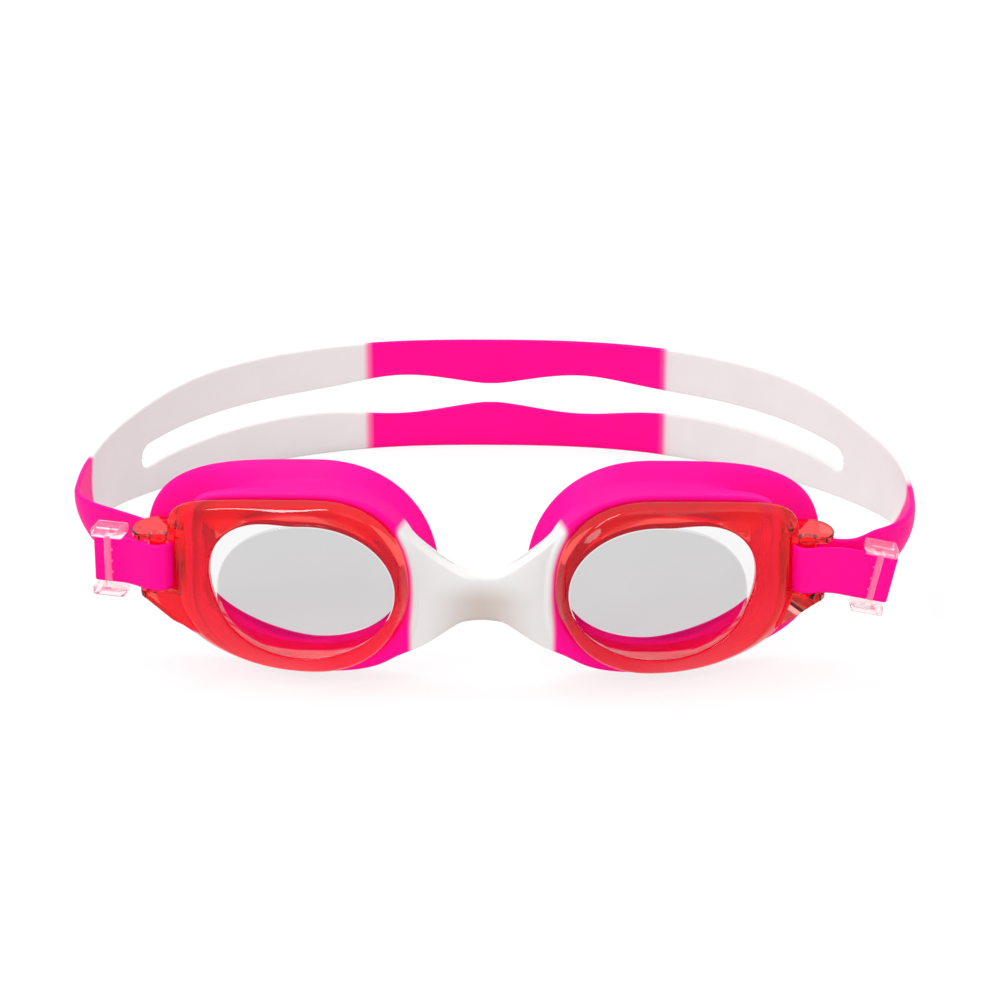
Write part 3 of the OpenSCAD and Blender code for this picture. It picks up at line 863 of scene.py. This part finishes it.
def strap_end(side):
    """One end of the strap with its white arm, from the fork of the bands to the tip of the tail."""
    shape = strap_sides[side]
    turn, droop = math.radians(shape["tail_turn"]), math.tan(math.radians(shape["tail_drop"]))
    path, out = end_path(side)
    x, y = path.T
    lengths = along(path)
    past_post = np.minimum((x - post_at[0]) / math.cos(turn), sink_out)
    sink = drop_at(side, past_post) * (1 - eased(y, *shape["sink_y"]))
    drop = np.where(out < 0, sink, drop_at(side, out))
    to_end = lengths[-1] - lengths
    past_corner = np.minimum(to_end, tail_corner) - tail_corner
    inset = tail_corner - np.sqrt(tail_corner ** 2 - past_corner ** 2)
    lift = shape["lift"] * eased(y, *lift_in) * (1 - eased(y, *lift_out)) * (out < 0)
    low, high = low_edge(y) - drop + inset, high_edge(y) - drop - inset + lift
    toward = eased(y, middle_y, slit_y)
    middle = (1 - toward) * (low + high) / 2 + toward * rear_h / 2
    half = np.where(np.arange(len(path)) < slit_stations - 1, slit_half(x, y), 0)
    slit = np.concatenate([
        np.stack((lengths, edge), axis=-1)[:slit_stations] for edge in (middle - half, middle + half)
    ])
    lean = eased(y, *lean_in) * (1 - eased(y, *lean_out)) * (out < 0)
    tuck = shape["tuck"] * eased(y, *tuck_in) * (1 - eased(y, *tuck_out)) * (out < 0)
    slant = droop * eased(out, 0, slant_run)
    strips = []
    for heights in (across_rows(low, middle - half), across_rows(middle + half, high)):
        spots = np.stack(np.broadcast_arrays(lengths[:, None], heights), axis=-1)
        to_slit = np.linalg.norm(spots[:, :, None, :] - slit, axis=-1).min(axis=2)
        to_edge = np.minimum(heights - low[:, None], high[:, None] - heights)
        far = np.minimum(np.minimum(to_edge, to_slit), to_end[:, None])
        fall = (high[:, None] - heights) / (high - low)[:, None]
        leaned = -tuck[:, None] - lean[:, None] * fall * (shape["lean"] - 4 * shape["bow"] * (1 - fall))
        slanted = slant[:, None] * (heights - middle[:, None])
        shift = leaned[..., None] * (1, 0) + slanted[..., None] * (math.cos(turn), math.sin(turn))
        strips.append((heights, far, shift))
    made = ribbon(f"strap_end_{side_names[side]}_soft", path, strips, (0,), side)
    y, z = places(made).T[1:]
    pink_from = shape["pink_y"] + shape["pink_slope"] * (z - strap_z)
    give(made, "dye", 1 - dyed(y, pink_from))
    return made


def band(name):
    """The upper or the lower band, around the back of the head from fork to fork."""
    path = loop_at(np.linspace(fork_q, -fork_q, band_stations))
    x, y = path.T
    half = slit_half(x, y)
    low, high = (rear_h / 2 + half, high_edge(y)) if name == "upper" else (low_edge(y), rear_h / 2 - half)
    heights = across_rows(low, high)
    far = np.minimum(heights - low[:, None], high[:, None] - heights)
    made = ribbon(name + "_band_soft", path, [(heights, far, 0)], (0, len(path) - 1))
    x = places(made)[:, 0]
    left, right = (loop_at(side * strap_sides[side]["back_q"])[0] for side in (-1, 1))
    give(made, "dye", dyed(x, left) * (1 - dyed(x, right)))
    return made


for side, name in side_names.items():
    end = strap_end(side)
    dress(end, soft, "pink_silicone", "strap_end_" + name, "strap_arm_" + name)
    row((0, arm_bend[0], 0))
    row((0, arm_bend[1], 0))
    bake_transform(end)
for name in ("upper", "lower"):
    loop = band(name)
    dress(loop, soft, "pink_silicone", f"{name}_side_left", f"{name}_back", f"{name}_side_right")
    row((0, fork_y, 0))
    row((0, fork_y + band_bend, 0))
    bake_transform(loop)

# Clips: clear plastic slides that grip the strap's tail between two bars, with a block at each end.
# Each block has a rounded rim around a shallow well, and small teeth on the front bar bite into the tail.
clip_out = {1: 14.3, -1: 10.6}
clip_h, clip_w, clip_depth = 15.6, 7, 5
clip_bar_w, bar_t = 1.2, 1.5
clip_inside = strap_t / 2 + strap_room
clip_end_t = 2.15
well_rim, well_deep = 1.0, 0.6
teeth, tooth, tooth_w, tooth_step = 3, 0.35, 0.9, 2.6
end_edge, well_edge, bar_edge, tooth_edge = 0.55, 0.3, 0.25, 0.1
edge_cuts = 3


def block(size, at, side, edge):
    """A box with broken edges, placed by its distance along the tail, behind it and above it."""
    shape = bmesh.new()
    bmesh.ops.create_cube(shape, size=1)
    for v in shape.verts:
        v.co = Vector(a * b for a, b in zip(v.co, size)) + Vector(at)
    bmesh.ops.bevel(shape, geom=shape.edges[:], offset=edge, segments=edge_cuts, profile=0.5, affect="EDGES")
    s, n, h = np.array([v.co for v in shape.verts]).T
    faces = [[v.index for v in f.verts] for f in shape.faces]
    shape.free()
    drop = math.radians(strap_sides[side]["tail_drop"])
    s, h = turned(s, h, -drop)
    flat = on_tail(side, clip_out[side] + s, n - tail_n) * (side, 1)
    high = strap_z - drop_at(side, clip_out[side]) + h
    return piece(f"strap_clip_{side_names[side]}_clear", np.concatenate((flat, high[:, None]), axis=1), faces)


def clip(side):
    """Two end blocks with wells, joined by a bar in front of the tail and one behind it."""
    end_z = (clip_h - clip_end_t) / 2
    ends = [block((clip_w, clip_depth, clip_end_t), (0, 0, z), side, end_edge) for z in (end_z, -end_z)]
    well = (clip_w - 2 * well_rim, clip_depth - 2 * well_rim, 2 * well_deep)
    wells = [block(well, (0, 0, z), side, well_edge) for z in (clip_h / 2, -clip_h / 2)]
    bar = clip_inside + bar_t / 2
    bars = [block((clip_bar_w, bar_t, clip_h - clip_end_t), (0, n, 0), side, bar_edge) for n in (-bar, bar)]
    bites = [
        block((tooth_w, tooth, tooth), (-tooth_w / 2, -clip_inside, k * tooth_step), side, tooth_edge)
        for k in range(-(teeth // 2), teeth // 2 + 1)
    ]
    return cut(cut(ends[0], [ends[1], *bars, *bites], "UNION"), wells, "DIFFERENCE")


frosted = clear_plastic(
    "clear_clip_plastic", (0.97, 0.86, 0.88, 1), (0.99, 0.91, 0.93, 1), rough=0.15, clear=0.9, bend=1.08
)
for side, name in side_names.items():
    slide = clip(side)
    dress(slide, frosted, "clear_plastic", "strap_clip_" + name)
    slide.visible_shadow = False
    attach(slide, name + "_clip")

# Table and light: a white table top in a white room under soft lamps, white to the eye and in reflections.
# The table keeps a soft shadow under the goggles. Its size and the lamps' places and sizes are in metres,
# and the lamps' power is in watts.
table_size = 3.0
table_shadow = 0.2
room_light = 0.92
lamps = (
    ("front_lamp", (-0.5, -1.0, 1.1), (0.5, 0.5), 4.5),
    ("top_lamp", (0.3, 0.3, 1.4), (0.8, 0.8), 1.5),
    ("streak_lamp", (-0.3, 0.2, 0.9), (0.7, 0.08), 3),
)


def seen(shade):
    """1 for what the eye sees, straight on, mirrored or through plastic, and 0 for light on the object."""
    rays = shade.node("LightPath").socket.node.outputs
    straight, mirrored, through = (
        Shade(shade.tree, rays[f"Is {kind} Ray"]) for kind in ("Camera", "Glossy", "Transmission")
    )
    return shade.math("MAXIMUM", straight, shade.math("MAXIMUM", mirrored, through))


table_mesh = bpy.data.meshes.new("table_top")
edge = table_size / 2
corners = [(-edge, -edge, 0), (edge, -edge, 0), (edge, edge, 0), (-edge, edge, 0)]
table_mesh.from_pydata(corners, [], [(0, 1, 2, 3)])
table = bpy.data.objects.new("table_top", table_mesh)
bpy.context.scene.collection.objects.link(table)
material = bpy.data.materials.new("white_table")
material.use_nodes = True
material.node_tree.nodes.clear()
shade = Shade(material.node_tree)
matt = shade.node("BsdfDiffuse", {"Color": (0.8, 0.8, 0.8, 1)})
bright = shade.node("BsdfDiffuse", {"Color": (1, 1, 1, 1)})
glow = shade.node("Emission", {"Color": (1, 1, 1, 1), "Strength": 1.0})
shadowed = shade.node("MixShader", {0: table_shadow, 1: glow, 2: bright})
shade.node("OutputMaterial", {"Surface": shade.node("MixShader", {0: seen(shade), 1: matt, 2: shadowed})})
table_mesh.materials.append(material)

world = bpy.data.worlds.new("white_room")
bpy.context.scene.world = world
world.use_nodes = True
shade = Shade(world.node_tree)
strength = room_light + (1 - room_light) * seen(shade)
shade.feed(world.node_tree.nodes["Background"], {"Color": (1, 1, 1, 1), "Strength": strength})

for name, at, size, power in lamps:
    light = bpy.data.lights.new(name, "AREA")
    light.shape = "ELLIPSE"
    light.size, light.size_y = size
    light.energy = power
    lamp = bpy.data.objects.new(name, light)
    lamp.location = at
    lamp.rotation_euler = (-Vector(at)).to_track_quat("-Z", "Y").to_euler()
    bpy.context.scene.collection.objects.link(lamp)
